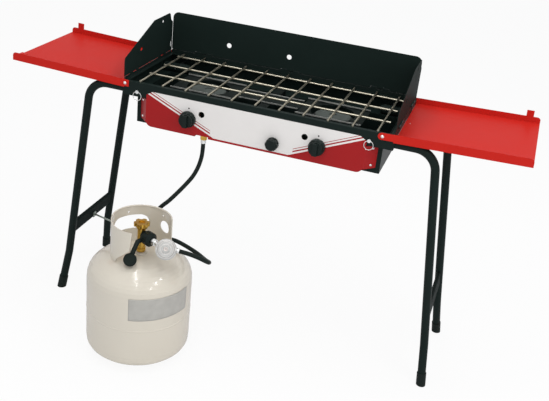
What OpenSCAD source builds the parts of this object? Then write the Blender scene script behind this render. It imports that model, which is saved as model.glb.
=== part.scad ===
// Two-burner propane camp stove on four tube legs, with folding windscreen,
// folding side shelves, lift-off wire grate, hose, regulator and gas cylinder.
// Millimetres. +X to the operator's right, +Y away from the operator, +Z up.
// The origin is on the floor, under the middle of the whole footprint.

/* [Stove body] */
// Length of the top rim, left to right
rim_l = 838; // [830:1:900]
// Depth of the top rim, front to back
rim_w = 360; // [350:1:400]
// Height of the rim's skirt
rim_h = 44; // [42:1:60]
// Height of the rim's top above the floor
rim_top = 784; // [740:1:840]
// Width of the folded-in lip at the front and the ends
lip_w = 14; // [12:1:16]
// Width of the folded-in lip at the back
lip_back_w = 26; // [24:1:30]
// Length of the burner box under the rim
box_l = 772; // [760:1:780]
// Depth of the burner box, front to back
box_w = 244; // [236:1:256]
// Height of the burner box
box_h = 92; // [84:1:110]
// Thickness of the body sheet
steel_t = 1.5; // [1:0.1:2]
// Width of the flange round the open bottom of the box
foot_flange = 12; // [8:1:20]

/* [Control panel] */
// Length of the flat face of the panel
panel_l = 684; // [660:1:700]
// Height of the panel
panel_h = 112; // [106:1:116]
// How far the panel laps up over the skirt
panel_lap = 25; // [15:1:30]
// Thickness of the panel sheet
panel_t = 1.2; // [0.8:0.1:2]
// Sideways reach of each slanted end
panel_wing = 31; // [20:1:36]
// Distance of each burner knob from the middle
knob_x = 202; // [180:1:215]
// Height of the burner knobs below the rim's top
knob_drop = 79; // [70:1:82]
// Diameter of a burner knob
knob_d = 50; // [40:1:56]
// Distance of the igniter knob from the middle
igniter_x = 68; // [40:1:90]
// Height of the igniter knob below the rim's top
igniter_drop = 98; // [92:1:104]
// Diameter of the igniter knob
igniter_d = 38; // [30:1:44]
// Diameter of each match-lighting hole
match_d = 19; // [14:1:24]
// Sideways distance of a match-lighting hole from its knob
match_x = 41; // [38:1:48]
// Height of a match-lighting hole above its knob
match_z = 21; // [16:1:26]

/* [Grate] */
// Diameter of the grate wire
wire_d = 6.4; // [5:0.1:7]
// Number of wires that run front to back
cross_wires = 11; // [7:1:15]
// Distance between the wires that run front to back
cross_pitch = 73.5; // [60:0.5:74.5]
// Length of the wires that run left to right
rail_l = 770; // [750:1:780]
// Distance between the wires that run left to right
rail_pitch = 107; // [90:1:108]

/* [Windscreen] */
// Height of the windscreen above the rim
screen_h = 140; // [110:1:160]
// Distance from the middle to the inner face of a side screen
screen_x = 417; // [408:0.5:417.5]
// Thickness of the screen sheet
screen_t = 1.2; // [0.8:0.1:1.6]
// Height of a side screen at its front edge
screen_front_h = 60; // [50:1:80]
// Length of the level top of a side screen
screen_level = 122; // [90:1:150]
// Diameter of the holes in the back screen
screen_hole_d = 16; // [10:1:20]

/* [Side shelves] */
// Distance from the middle to the outer end of a shelf
shelf_reach = 800; // [760:1:840]
// Height of the shelf walls
shelf_wall = 25; // [20:1:32]
// How far the shelf walls hang below the shelf's floor
shelf_hang = 6; // [0:0.5:10]
// Upward slope of the shelves, in degrees
shelf_rise = 1.9; // [0:0.1:3]
// Thickness of the shelf sheet
shelf_t = 1.2; // [0.8:0.1:1.6]
// Distance of the left shelf's hinge bolts from the middle
left_hinge_x = 413; // [408:1:413]
// Distance of the right shelf's hinge bolts from the middle
right_hinge_x = 384; // [382:1:388]
// Height of the upright tabs above the shelf walls
shelf_tab = 19; // [10:1:24]

/* [Legs] */
// Diameter of the leg tube
leg_d = 25.4; // [24:0.1:26]
// Wall of the leg tube
leg_wall = 1.5; // [1.2:0.1:2]
// Where the level run of a leg would meet its sloping run
leg_corner_x = 538; // [520:1:560]
// Distance of each foot from the middle
foot_x = 630; // [600:1:660]
// Radius of the bend at the top of a leg
leg_bend = 65; // [50:1:80]
// Height where the foot of a leg is set outward
kink_z = 130; // [100:1:180]
// How far a foot is set outward
kink_y = 24; // [10:1:30]
// Depth of a leg in its socket
leg_grip = 96; // [94:1:110]
// Height of the brace between two legs
brace_z = 224; // [200:1:320]
// Height of the flat-oval brace tube
brace_h = 48; // [26:1:56]

/* [Burners] */
// Diameter of a burner head
burner_d = 124; // [110:1:130]
// Height of a burner head
burner_h = 44; // [40:1:48]
// Number of flame ports round a burner head
ports = 24; // [16:1:28]

/* [Gas cylinder] */
// Diameter of the cylinder
tank_d = 316; // [295:1:320]
// Height of the cylinder to the top of its collar
tank_h = 450; // [440:1:470]
// Distance of the cylinder's axis to the left of the middle
tank_x = 247; // [240:1:260]
// Distance of the cylinder's axis in front of the rim
tank_y = 203; // [195:1:230]
// Diameter of the collar
collar_d = 180; // [176:1:200]
// Height of the collar
collar_h = 122; // [118:1:126]
// Height of the foot ring
foot_ring_h = 10; // [8:0.5:32]
// Wall of the cylinder
tank_wall = 3; // [2:0.2:4]
// Diameter of the valve's handwheel
wheel_d = 47; // [40:1:52]
// Diameter of the coupling nut
nut_d = 43; // [38:1:46]
// Diameter of the regulator
regulator_d = 58; // [50:1:62]

/* [Hose] */
// Diameter of the hose
hose_d = 13; // [12:0.5:13.5]

/* [Hidden] */
$fn = 48;

// Shared clearances and small sizes
e = 0.01;
gap = 0.3;           // between parts that lie beside each other
slip = 0.1;          // round a pin or shaft that turns or slides
socket_slip = 0.2;   // round a leg in its socket
seam = 0.05;         // between the straight and bent runs of a leg
sleeve_t = 1.5;

// Where the body's levels lie
skirt_z = rim_top - rim_h;
box_z = skirt_z - box_h;
shoulder_z = skirt_z + steel_t;
sleeve_r = leg_d / 2 + socket_slip + sleeve_t;
leg_z = shoulder_z + sleeve_r;
leg_y_front = steel_t + sleeve_r;
box_y = 32;                         // setback of the box behind the skirt
box_back = box_y + box_w;
leg_y_back = box_back + sleeve_r;
box_mid = box_y + box_w / 2;
pin_left_x = rim_l / 2 - 47;        // lock pins through the left legs
pin_right_x = rim_l / 2 - 70;       // lock pins through the right legs
pin_d = 6;
pin_head_d = 11;
weld_t = 0.7;                       // height of the cylinder's weld seam
ring_d = 29;
ring_wire = 2;
pin_head_t = 4;
pin_neck = 1;                       // stand-off of a pin's head from the skirt

// Shelf levels
shelf_floor = leg_z + leg_d / 2 + 0.4;
shelf_inner = rim_l / 2 + 0.6;
shelf_front = -gap * 4 - shelf_t;   // outer face of a shelf's front wall
shelf_back = rim_w + gap * 4 + shelf_t;
hinge_z = shelf_floor + 8;
arm_h = 21;
bolt_d = 5;
bolt_head = 4.2;
bolt_head_r = 4.8;
bolt_nut = 8;                       // across the flats
nut_t = 4;

// The whole footprint, which sets the origin
foot_front = -tank_y - tank_d / 2 - weld_t;
foot_back = rim_w + pin_neck + pin_head_t;
mid_y = (foot_front + foot_back) / 2;

// Valve train
valve_z = rim_top - knob_drop;
igniter_z = rim_top - igniter_drop;
manifold_y = 20;
manifold_z = valve_z - 42;
manifold_d = 17;
valve_d = 22;
valve_back = 36;
stem_d = 8;
stem_front = -16;
nose_back = 56;
inlet_x = -157;
nut_af = 19;
nut_h = 15;
inlet_bottom = box_z + 6 - 13;
ferrule_d = 16;
ferrule_h = 12;
hose_top = inlet_bottom - ferrule_h;

// Burners
burner_z = valve_z - 5;
rail_z = burner_z - 19;             // underside of the burner rails
rail_t = 3;
cap_t = 10;
head_top = burner_z + burner_h;
tube_r = 17;
mouth_y = 58;
shutter_y = mouth_y - 2;
baffle_z = shoulder_z + 17;
baffle_l = 200;
baffle_w = 144;

// Grate and windscreen levels
cross_z = rim_top + wire_d / 2;
rail_wire_z = cross_z - wire_d;
cross_front = 8;
cross_back = rim_w - lip_back_w / 2 - 4;
rail_last = rim_w - lip_back_w - wire_d / 2 - 5.3;
screen_back_y = rim_w - 14;
side_pivot_z = cross_z + wire_d / 2 + 6.6;
back_pivot_z = side_pivot_z + 4;
pivot_r = 3;
pivot_pin = 2.6;
side_pivot_x = screen_x + pivot_r;
back_pivot_y = screen_back_y + pivot_r;
screen_top = rim_top + screen_h;
back_half = screen_x - 0.5;
leaf_low = 2.2;                     // reach of a screen below its pivot
strip_low = 3.9;                    // top of a fixed strip below the pivot
strip_w = 12;
hinge_len = 60;
knuckle = 20;

// Tank levels
shell_r = tank_d / 2;
dome_h = 84;
dome_n = 2.5;                       // fullness of the upper dome
shell_top = tank_h - collar_h + 8;
shell_side_top = shell_top - dome_h;
base_h = 52;
base_n = 3;                         // fullness of the lower head
foot_ring_r = 100;
foot_ring_t = 2.6;
shell_base = foot_ring_h + gap
    - base_h * (1 - head_at((foot_ring_r - foot_ring_t) / shell_r, base_n));
collar_t = 2.6;
collar_rim = 2.6;
valve_r = 12;
outlet_a = -26;                    // direction of the outlet, seen from above
outlet_z = tank_h - 54;
outlet_r = 11;
valve_top = outlet_z + 22;
nut_in = 24;
nut_out = 49;
nipple_out = 86;
regulator_at = 114;
regulator_lean = 57;                // of its face, from facing straight up
regulator_turn = -72;               // direction that its face looks to

// Hose route from the stove's inlet to the regulator, for the first sizes.
// Its first points follow the inlet and its last ones follow the cylinder.
ROUTE = [[-157, 20, 627], [-157, 19, 604], [-158, 15, 580], [-163, 7, 552],
    [-173, -5, 524], [-189, -20, 498], [-208, -38, 472], [-228, -55, 447],
    [-250, -68, 424], [-266, -76, 396], [-272, -82, 366], [-262, -88, 343],
    [-239, -92, 335], [-212, -92, 336], [-185, -91, 336], [-156, -94, 331],
    [-126, -103, 327], [-97, -119, 327], [-72, -141, 331], [-52, -163, 338],
    [-37, -181, 346], [-31, -199, 356], [-36, -214, 367], [-49, -225, 378],
    [-68, -232, 386], [-88, -237, 391], [-108, -241, 394]];
hose_start = [inlet_x, manifold_y, hose_top - 0.4];
hose_end = [-tank_x, -tank_y, tank_h] + [139, -38, -56];
HOSE = [for (i = [0 : len(ROUTE) - 1])
    let (t = min(1, i / 9), w = t * t * (3 - 2 * t))
    ROUTE[i] + (1 - w) * (hose_start - ROUTE[0])
        + w * (hose_end - ROUTE[len(ROUTE) - 1])];

// ---------------------------------------------------------------- helpers

// Moves a piece from the stove's frame, whose Y is 0 at the rim's front,
// to the object's own origin.
module placed() { translate([0, -mid_y, 0]) children(); }

// A round bar from one point to another
module bar(p, q, r) {
    v = q - p;
    translate(p)
        rotate([0, acos(v.z / norm(v)), atan2(v.y, v.x)])
            cylinder(h = norm(v), r = r);
}

// A cylinder along +Y from y0 to y1
module along_y(x, z, y0, y1, r) {
    translate([x, y0, z]) rotate([-90, 0, 0]) cylinder(h = y1 - y0, r = r);
}

// A cylinder along +X from x0 to x1
module along_x(y, z, x0, x1, r) {
    translate([x0, y, z]) rotate([0, 90, 0]) cylinder(h = x1 - x0, r = r);
}

// A box from its lowest corner to its highest corner
module block(p, q) { translate(p) cube(q - p); }

// A six-sided prism along +Z
module hex(af, h) { cylinder(h = h, d = af / cos(30), $fn = 6); }

// A flat slot shape with round ends, lying along X
module slot_2d(l, w) {
    for (s = [-1, 1]) translate([s * (l - w) / 2, 0]) circle(d = w);
    square([l - w, w], center = true);
}

// A ring of round wire, standing in the XZ plane
module wire_ring(p, d, w) {
    translate(p) rotate([90, 0, 0])
        rotate_extrude() translate([(d - w) / 2, 0]) circle(d = w, $fn = 16);
}

// ------------------------------------------------------------------- body

module tub(inset, top, bottom) {
    block([-rim_l / 2 + inset, inset, skirt_z + inset],
          [rim_l / 2 - inset, rim_w - inset, top]);
    block([-box_l / 2 + inset, box_y + inset, bottom],
          [box_l / 2 - inset, box_back - inset, skirt_z + inset + 1]);
}

module stove_body() placed() color([0.11, 0.13, 0.13]) difference() {
    union() {
        difference() {
            tub(0, rim_top, box_z);
            tub(steel_t, rim_top - steel_t, box_z + steel_t);
        }
        // lugs that the panel's slanted ends are screwed to
        for (s = [0, 1]) mirror([s, 0, 0]) for (z = screw_heights())
            translate([panel_l / 2, 0, z - 9]) linear_extrude(18)
                polygon([[panel_wing * 0.35, box_y * 0.35 + 1.5],
                    [panel_wing * 0.35, box_y * 0.35 + 4.5],
                    [panel_wing - 6.3, box_y - 1.5],
                    [panel_wing - 50, box_y - 1.5], [panel_wing - 50, box_y + 1],
                    [panel_wing - 1, box_y + 1]]);
    }
    // screw holes in the lugs
    for (s = [0, 1]) mirror([s, 0, 0]) for (z = screw_heights())
        translate([wing_x(), wing_y(), z]) rotate([90, 0, wing_lean])
            cylinder(h = 14, r = 1.7, center = true);
    // open top inside the lips
    block([-rim_l / 2 + lip_w, lip_w, rim_top - steel_t - 1],
          [rim_l / 2 - lip_w, rim_w - lip_back_w, rim_top + 1]);
    // open bottom inside the flange
    block([-box_l / 2 + foot_flange, box_y + foot_flange, box_z - 1],
          [box_l / 2 - foot_flange, box_back - foot_flange, box_z + steel_t + 1]);
    // leg holes in the ends
    for (y = [leg_y_front, leg_y_back])
        along_x(y, leg_z, -rim_l, rim_l, leg_d / 2 + socket_slip);
    // lock pin holes, front and back
    for (x = [-pin_left_x, pin_right_x])
        along_y(x, leg_z, -5, rim_w + 5, pin_d / 2 + slip);
    // hinge bolt holes, front and back
    for (x = [-left_hinge_x, right_hinge_x])
        along_y(x, hinge_z, -5, rim_w + 5, bolt_d / 2 + slip);
    // holes for the valves' noses and the igniter's leads
    for (s = [-1, 1])
        along_y(s * knob_x, valve_z, box_y - 2, box_y + 8, 27);
    for (s = [-1, 1])
        along_y(igniter_x + 5 * s, igniter_z + 4, box_y - 2, box_y + 8, 3);
    // the way in for a match, behind the panel's match-lighting holes
    for (s = [-1, 1])
        along_y(s * (knob_x - match_x), valve_z + match_z, box_y - 2, box_y + 8,
                match_d / 2 + 1.5);
}

module control_panel() placed() color([0.85, 0.84, 0.83]) {
    top = skirt_z + panel_lap;
    low = top - panel_h;
    half = panel_l / 2;
    wing_top = skirt_z - 3;
    wing_low = low + 12;
    corner = 20;
    notch_w = 43;
    difference() {
        union() {
            // flat face with clipped top corners and round bottom corners
            translate([0, 0, 0]) rotate([90, 0, 0]) linear_extrude(panel_t) {
                polygon([[-half, low + corner], [-half + corner, low + corner],
                    [half - corner, low + corner], [half, low + corner],
                    [half, top - 12], [half - 20, top], [-half + 20, top],
                    [-half, top - 12]]);
                square_x = half - corner;
                translate([-square_x, low]) square([2 * square_x, corner + 1]);
                for (s = [-1, 1])
                    translate([s * square_x, low + corner]) circle(r = corner);
            }
            // bottom edge folded back
            block([-half + corner, -panel_t, low],
                  [half - corner, 13, low + panel_t]);
            // slanted ends that run back to the box
            for (s = [0, 1]) mirror([s, 0, 0])
                translate([0, 0, wing_low]) linear_extrude(wing_top - wing_low)
                    polygon([[half - panel_t, 0], [half, -panel_t],
                        [half + panel_wing, box_y - gap],
                        [half + panel_wing - panel_t * 1.5, box_y - gap]]);
        }
        for (s = [-1, 1]) {
            along_y(s * knob_x, valve_z, -5, 5, stem_d / 2 + 2);
            along_y(s * (knob_x - match_x), valve_z + match_z, -5, 5, match_d / 2);
        }
        along_y(igniter_x, igniter_z, -5, 5, 11);
        for (s = [0, 1]) mirror([s, 0, 0]) for (z = screw_heights())
            translate([wing_x(), wing_y(), z]) rotate([90, 0, wing_lean])
                cylinder(h = 12, r = 1.7, center = true);
        // notch that lets the gas inlet out
        block([inlet_x - notch_w / 2, -5, low - 1],
              [inlet_x + notch_w / 2, 20, low + 6]);
    }
}

// The middle of each slanted end, where its screws go in
screw_at = 0.6;
wing_lean = atan2(box_y - gap + panel_t, panel_wing);
function wing_x() = panel_l / 2 + screw_at * panel_wing;
function wing_y() = -panel_t + screw_at * (box_y - gap + panel_t);
function screw_heights() = [skirt_z - 12, skirt_z - 64];

// Screws of the panel, which run through its slanted ends into the lugs
module panel_screws() placed() color([0.75, 0.76, 0.77])
    for (s = [0, 1]) mirror([s, 0, 0]) for (z = screw_heights())
        translate([wing_x(), wing_y(), z]) rotate([90, 0, wing_lean]) {
            cylinder(h = 2.2, r1 = 4, r2 = 2.6);
            translate([0, 0, -6]) cylinder(h = 6.1, r = 1.6);
        }

module drip_tray() placed() color([0.6, 0.61, 0.62]) {
    x = box_l / 2 - steel_t - gap;
    y0 = box_y + steel_t + gap;
    y1 = box_back - steel_t - gap;
    z = box_z + steel_t;
    t = 0.9;
    difference() {
        block([-x, y0, z], [x, y1, z + 12]);
        block([-x + t, y0 + t, z + t], [x - t, y1 - t, z + 13]);
        for (i = [-4 : 4]) if (i != 0) for (y = [box_mid - 45, box_mid + 45])
            translate([i * 80, y, z - 1]) linear_extrude(3) slot_2d(56, 10);
    }
}

// Short sleeves, welded to the shoulder, that hold the legs
module leg_sockets() placed() color([0.13, 0.14, 0.14])
    for (s = [0, 1]) mirror([s, 0, 0])
        for (y = [leg_y_front, leg_y_back]) difference() {
            along_x(y, leg_z, rim_l / 2 - leg_grip + 6, rim_l / 2 - steel_t,
                    sleeve_r);
            along_x(y, leg_z, rim_l / 2 - leg_grip, rim_l / 2 + 1,
                    leg_d / 2 + socket_slip);
            along_y(s == 0 ? pin_right_x : pin_left_x, leg_z, y - 30, y + 30,
                    pin_d / 2 + slip);
        }

// ---------------------------------------------------------------- burners

// Cast burner: a hollow round head, its mixing tube and its mounting boss
module burner(x) {
    r = burner_d / 2;
    difference() {
        union() {
            translate([x, box_mid, burner_z]) {
                cylinder(h = 12, r1 = r - 16, r2 = r);
                translate([0, 0, 12]) cylinder(h = burner_h - 12, r = r);
                translate([0, 0, -16]) cylinder(h = 17, r = 14);
            }
            along_y(x, valve_z + 6, mouth_y + 10, box_mid - r + 14, tube_r);
            translate([x, mouth_y, valve_z + 6]) rotate([-90, 0, 0])
                cylinder(h = 14, r1 = tube_r + 6, r2 = tube_r);
        }
        translate([x, box_mid, burner_z + 5]) cylinder(h = 9, r1 = r - 20, r2 = r - 6);
        translate([x, box_mid, burner_z + 14]) cylinder(h = burner_h - 18, r = r - 6);
        translate([x, box_mid, burner_z + burner_h - 5]) cylinder(h = 6, r = r - 20);
        along_y(x, valve_z + 6, mouth_y - 1, box_mid - r + 16, tube_r - 4);
        for (i = [0 : ports - 1])
            translate([x, box_mid, head_top - 9])
                rotate([0, 90, 360 / ports * (i + 0.5)])
                    translate([0, 0, r - 10]) cylinder(h = 12, r = 1.8, $fn = 16);
        translate([x, box_mid, burner_z - 17]) cylinder(h = 14, r = 3);
    }
}
module burner_left() placed() color([0.16, 0.16, 0.16]) burner(-knob_x);
module burner_right() placed() color([0.16, 0.16, 0.16]) burner(knob_x);

// Loose cap that spreads the flame
module burner_cap(x) translate([x, box_mid, head_top]) difference() {
    union() {
        cylinder(h = cap_t - 3, r = burner_d / 2 - 8);
        translate([0, 0, cap_t - 3])
            cylinder(h = 3, r1 = burner_d / 2 - 8, r2 = burner_d / 2 - 13);
        translate([0, 0, -5]) cylinder(h = 5, r = burner_d / 2 - 20 - gap);
    }
    translate([0, 0, -6]) cylinder(h = 8, r = burner_d / 2 - 24);
    translate([0, 0, cap_t - 3]) cylinder(h = 4, r = 12);
}
module burner_cap_left() placed() color([0.2, 0.2, 0.2]) burner_cap(-knob_x);
module burner_cap_right() placed() color([0.2, 0.2, 0.2]) burner_cap(knob_x);

// Flat bars across the box, with their ends turned up against its walls
module burner_rails() placed() color([0.13, 0.14, 0.14])
    for (s = [-1, 1]) difference() {
        union() {
            block([s * knob_x - 16, box_y + steel_t, rail_z],
                  [s * knob_x + 16, box_back - steel_t, rail_z + rail_t]);
            for (y = [box_y + steel_t, box_back - steel_t - 2])
                block([s * knob_x - 16, y, rail_z - 14],
                      [s * knob_x + 16, y + 2, rail_z + rail_t]);
        }
        translate([s * knob_x, box_mid, rail_z - 5]) cylinder(h = 12, r = 3.1);
    }

module burner_bolts() placed() color([0.7, 0.71, 0.72])
    for (s = [-1, 1]) translate([s * knob_x, box_mid, rail_z]) {
        translate([0, 0, -4]) hex(9, 4);
        translate([0, 0, -e]) cylinder(h = 13, r = 2.9);
    }

// Baffle plate round a burner, on two straps that stand on the shoulder
module baffle(x) {
    t = 1;
    edge = 8;
    l = baffle_l / 2;
    y0 = box_mid - baffle_w / 2;
    y1 = box_mid + baffle_w / 2;
    difference() {
        union() {
            block([x - l, y0, baffle_z], [x + l, y1, baffle_z + t]);
            for (y = [y0, y1 - t])
                block([x - l, y, baffle_z], [x + l, y + t, baffle_z + edge]);
            // straps: a foot, an upright and a level run at each side
            for (f = [[box_y - 14, box_y - 1, y0 + t], [box_back + 14, box_back, y1 - t]]) {
                block([x - 12, min(f[0], f[1]), shoulder_z],
                      [x + 12, max(f[0], f[1] + t), shoulder_z + t]);
                block([x - 12, f[1], shoulder_z], [x + 12, f[1] + t, baffle_z + t]);
                block([x - 12, min(f[1], f[2]), baffle_z],
                      [x + 12, max(f[1] + t, f[2]), baffle_z + t]);
            }
        }
        translate([x, box_mid, baffle_z - 1])
            cylinder(h = 3, r = burner_d / 2 + 6);
    }
}
module baffle_left() placed() color([0.62, 0.64, 0.63]) baffle(-knob_x);
module baffle_right() placed() color([0.62, 0.64, 0.63]) baffle(knob_x);

// Folded plate that bridges the gap between the two baffles
module igniter_shield() placed() color([0.62, 0.64, 0.63]) {
    x = knob_x - baffle_l / 2 - 2;
    y0 = box_mid - 40;
    y1 = box_mid + 40;
    block([-x, y0, baffle_z], [x, y1, baffle_z + 1]);
    for (y = [y0, y1 - 1]) block([-x, y, baffle_z], [x, y + 1, baffle_z + 7]);
    for (y = [box_y + steel_t, box_back - steel_t - 1]) {
        block([-14, y, skirt_z - 24], [14, y + 1, baffle_z + 1]);
    }
    block([-14, box_y + steel_t, baffle_z], [14, y0 + 1, baffle_z + 1]);
    block([-14, y1 - 1, baffle_z], [14, box_back - steel_t, baffle_z + 1]);
}

module air_shutters() placed() color([0.66, 0.67, 0.66])
    for (s = [-1, 1]) difference() {
        along_y(s * knob_x, valve_z + 6, shutter_y, mouth_y, tube_r + 8);
        along_y(s * knob_x, valve_z + 6, shutter_y - 1, mouth_y + 1, 6.5);
        for (a = [0, 180]) translate([s * knob_x, shutter_y - 1, valve_z + 6])
            rotate([-90, 0, 0]) rotate([0, 0, a - 30]) rotate_extrude(angle = 60)
                translate([10, 0]) square([6, 4]);
    }

// ------------------------------------------------------------- gas train

module gas_manifold() placed() color([0.2, 0.21, 0.21]) difference() {
    union() {
        along_x(manifold_y, manifold_z, -knob_x - 26, knob_x + 26, manifold_d / 2);
        translate([inlet_x, manifold_y, inlet_bottom + nut_h])
            cylinder(h = manifold_z - inlet_bottom - nut_h, r = 7);
    }
    along_x(manifold_y, manifold_z, -knob_x - 22, knob_x + 22, manifold_d / 2 - 2.5);
    translate([inlet_x, manifold_y, inlet_bottom]) cylinder(h = manifold_z - inlet_bottom, r = 4);
}

module gas_valve(x) difference() {
    union() {
        along_y(x, valve_z, 4, valve_back, valve_d / 2);
        along_y(x, valve_z, 0, 4, valve_d / 2 - 4);
        translate([x, valve_back - e, valve_z]) rotate([-90, 0, 0])
            cylinder(h = 8, r1 = 7, r2 = 5);
        hull() {
            along_y(x, valve_z, valve_back + 7, valve_back + 9, 5);
            along_y(x, valve_z + 6, nose_back - 8, nose_back - 7, 5);
        }
        along_y(x, valve_z + 6, nose_back - 8, nose_back + 1, 5);
        translate([x, manifold_y, manifold_z + manifold_d / 2 - 1.2])
            cylinder(h = valve_z - manifold_z - manifold_d / 2, r = 7);
    }
    along_y(x, valve_z, -1, 22, stem_d / 2 + slip);
    along_x(manifold_y, manifold_z, x - 20, x + 20, manifold_d / 2);
}
module valve_left() placed() color([0.7, 0.56, 0.25]) gas_valve(-knob_x);
module valve_right() placed() color([0.7, 0.56, 0.25]) gas_valve(knob_x);

module valve_stem(x) difference() {
    along_y(x, valve_z, stem_front, 21, stem_d / 2);
    // flat that drives the knob
    block([x - 10, stem_front - 1, valve_z + 2.4], [x + 10, -8, valve_z + 10]);
}
module valve_stem_left() placed() color([0.72, 0.6, 0.3]) valve_stem(-knob_x);
module valve_stem_right() placed() color([0.72, 0.6, 0.3]) valve_stem(knob_x);

// Knob: a skirt, a round body and a raised grip
module knob(x) difference() {
    union() {
        along_y(x, valve_z, -panel_t - 12, -panel_t - 2.5, knob_d / 2);
        translate([x, -panel_t - 12, valve_z]) rotate([90, 0, 0])
            cylinder(h = 5, r1 = knob_d / 2, r2 = knob_d / 2 - 3);
        along_y(x, valve_z, -panel_t - 26, -panel_t - 16, knob_d / 2 - 4);
        block([x - 7, -panel_t - 33, valve_z - knob_d / 2 + 6],
              [x + 7, -panel_t - 24, valve_z + knob_d / 2 - 6]);
    }
    difference() {
        along_y(x, valve_z, stem_front, 2, stem_d / 2);
        block([x - 10, stem_front - 1, valve_z + 2.4], [x + 10, -8, valve_z + 10]);
    }
}
module knob_left() placed() color([0.08, 0.11, 0.1]) knob(-knob_x);
module knob_right() placed() color([0.08, 0.11, 0.1]) knob(knob_x);

module igniter_module() placed() color([0.09, 0.1, 0.1]) {
    difference() {
        union() {
            along_y(igniter_x, igniter_z, -panel_t, box_y - 4, 10.6);
            along_y(igniter_x, igniter_z, -panel_t - 2, -panel_t, 14);
            translate([igniter_x, 0, igniter_z]) rotate([-90, 0, 0]) hex(27, 4);
            for (s = [-1, 1])
                along_y(igniter_x + 5 * s, igniter_z + 4, box_y - 5, box_y - 1, 2.4);
        }
        along_y(igniter_x, igniter_z, -20, 18, 4 + slip);
    }
}

module igniter_knob() placed() color([0.08, 0.11, 0.1]) {
    along_y(igniter_x, igniter_z, -panel_t - 3, 17, 4);
    difference() {
        translate([igniter_x, -panel_t - 2 - gap, igniter_z]) rotate([90, 0, 0]) {
            cylinder(h = 17, d = igniter_d);
            translate([0, 0, 17])
                cylinder(h = 5, d1 = igniter_d, d2 = igniter_d - 7);
        }
        for (i = [0 : 7]) translate([igniter_x, 0, igniter_z])
            rotate([0, 45 * i + 22.5, 0])
                along_y(igniter_d / 2 + 3.2, 0, -40, -panel_t - 8, 5);
    }
}

// Spark electrodes, each on a small bracket on its burner's rail
spark_in = 26;                      // sideways from the burner's middle
spark_y = box_mid - burner_d / 2 - 14;
spark_z = rail_z + rail_t + 1.5;
module electrodes() placed() color([0.9, 0.9, 0.86])
    for (s = [-1, 1]) {
        x = s * (knob_x - spark_in);
        translate([x, spark_y, spark_z]) {
            cylinder(h = 42, r = 3);
            cylinder(h = 50, r = 1);
        }
        bar([x, spark_y, spark_z + 49.5], [x + s * 5, spark_y + 12, spark_z + 51.5], 1);
        block([min(x - s * 5, x + s * 18), spark_y - 5, spark_z - 1.5],
              [max(x - s * 5, x + s * 18), spark_y + 5, spark_z]);
    }

// Insulated leads from the igniter to the two electrodes
module igniter_leads() placed() color([0.75, 0.2, 0.15])
    for (s = [-1, 1]) {
        x = s * (knob_x - spark_in - 4.6);
        y = box_y + 12;
        z = igniter_z + 4;
        path = [[igniter_x + 5 * s, box_y - 1, z], [igniter_x + 5 * s, y, z],
            [x, y, spark_z + 6], [x, spark_y, spark_z + 12]];
        for (i = [0 : 2]) bar(path[i], path[i + 1], 1.5);
        for (i = [1 : 2]) translate(path[i]) sphere(r = 1.7, $fn = 16);
    }

// Brass inlet: a swivel nut and its threaded stub
module inlet_fitting() placed() color([0.69, 0.54, 0.22])
    translate([inlet_x, manifold_y, inlet_bottom]) difference() {
        hex(nut_af, nut_h);
        along_x(0, manifold_z - inlet_bottom, -20, 20, manifold_d / 2 + gap);
        translate([0, 0, -1]) cylinder(h = nut_h + 2, r = 3.4);
    }

// ------------------------------------------------------------------ grate

module grate() placed() color([0.78, 0.77, 0.72]) {
    for (i = [0 : cross_wires - 1])
        along_y((i - (cross_wires - 1) / 2) * cross_pitch, cross_z,
                cross_front, cross_back, wire_d / 2);
    for (i = [0 : 2])
        along_x(rail_last - i * rail_pitch, rail_wire_z + 0.3,
                -rail_l / 2, rail_l / 2, wire_d / 2);
}

// ------------------------------------------------------------- windscreen

// One knuckle of a hinge, along Y at the origin
module knuckle_y(y0, y1) difference() {
    along_y(0, 0, y0, y1, pivot_r);
    along_y(0, 0, y0 - 1, y1 + 1, pivot_pin / 2 + 0.08);
}

// Y of the middles of the two hinges of a side screen
function side_hinges() = [70, 270];
// X of the middles of the three hinges of the back screen
function back_hinges() = [-300, 0, 300];

// Fixed strips on the rim, which carry the hinges' outer knuckles
module screen_strips() placed() color([0.1, 0.12, 0.12]) {
    for (s = [0, 1]) mirror([s, 0, 0]) {
        block([screen_x + screen_t - strip_w, 2, rim_top],
              [screen_x + screen_t, screen_back_y - gap, rim_top + 1.2]);
        block([screen_x, 2, rim_top],
              [screen_x + screen_t, screen_back_y - gap, side_pivot_z - strip_low]);
        for (y = side_hinges()) for (k = [-1, 1]) {
            y0 = y + k * knuckle - knuckle / 2 + gap;
            y1 = y + k * knuckle + knuckle / 2 - gap;
            translate([side_pivot_x, 0, side_pivot_z]) knuckle_y(y0, y1);
            block([screen_x, y0, side_pivot_z - strip_low - 1],
                  [screen_x + screen_t, y1, side_pivot_z + 0.6]);
        }
    }
    block([-back_half, screen_back_y, rim_top],
          [back_half, screen_back_y + strip_w, rim_top + 1.2]);
    block([-back_half, screen_back_y, rim_top],
          [back_half, screen_back_y + screen_t, back_pivot_z - strip_low]);
    for (x = back_hinges()) for (k = [-1, 1]) {
        x0 = x + k * knuckle - knuckle / 2 + gap;
        x1 = x + k * knuckle + knuckle / 2 - gap;
        translate([0, back_pivot_y, back_pivot_z]) rotate([0, 0, -90])
            knuckle_y(x0, x1);
        block([x0, screen_back_y, back_pivot_z - strip_low - 1],
              [x1, screen_back_y + screen_t, back_pivot_z + 0.6]);
    }
}

module screen_pins() placed() color([0.7, 0.7, 0.7]) {
    for (s = [-1, 1]) for (y = side_hinges())
        along_y(s * side_pivot_x, side_pivot_z,
                y - hinge_len / 2, y + hinge_len / 2, pivot_pin / 2);
    for (x = back_hinges())
        along_x(back_pivot_y, back_pivot_z,
                x - hinge_len / 2, x + hinge_len / 2, pivot_pin / 2);
}

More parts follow.
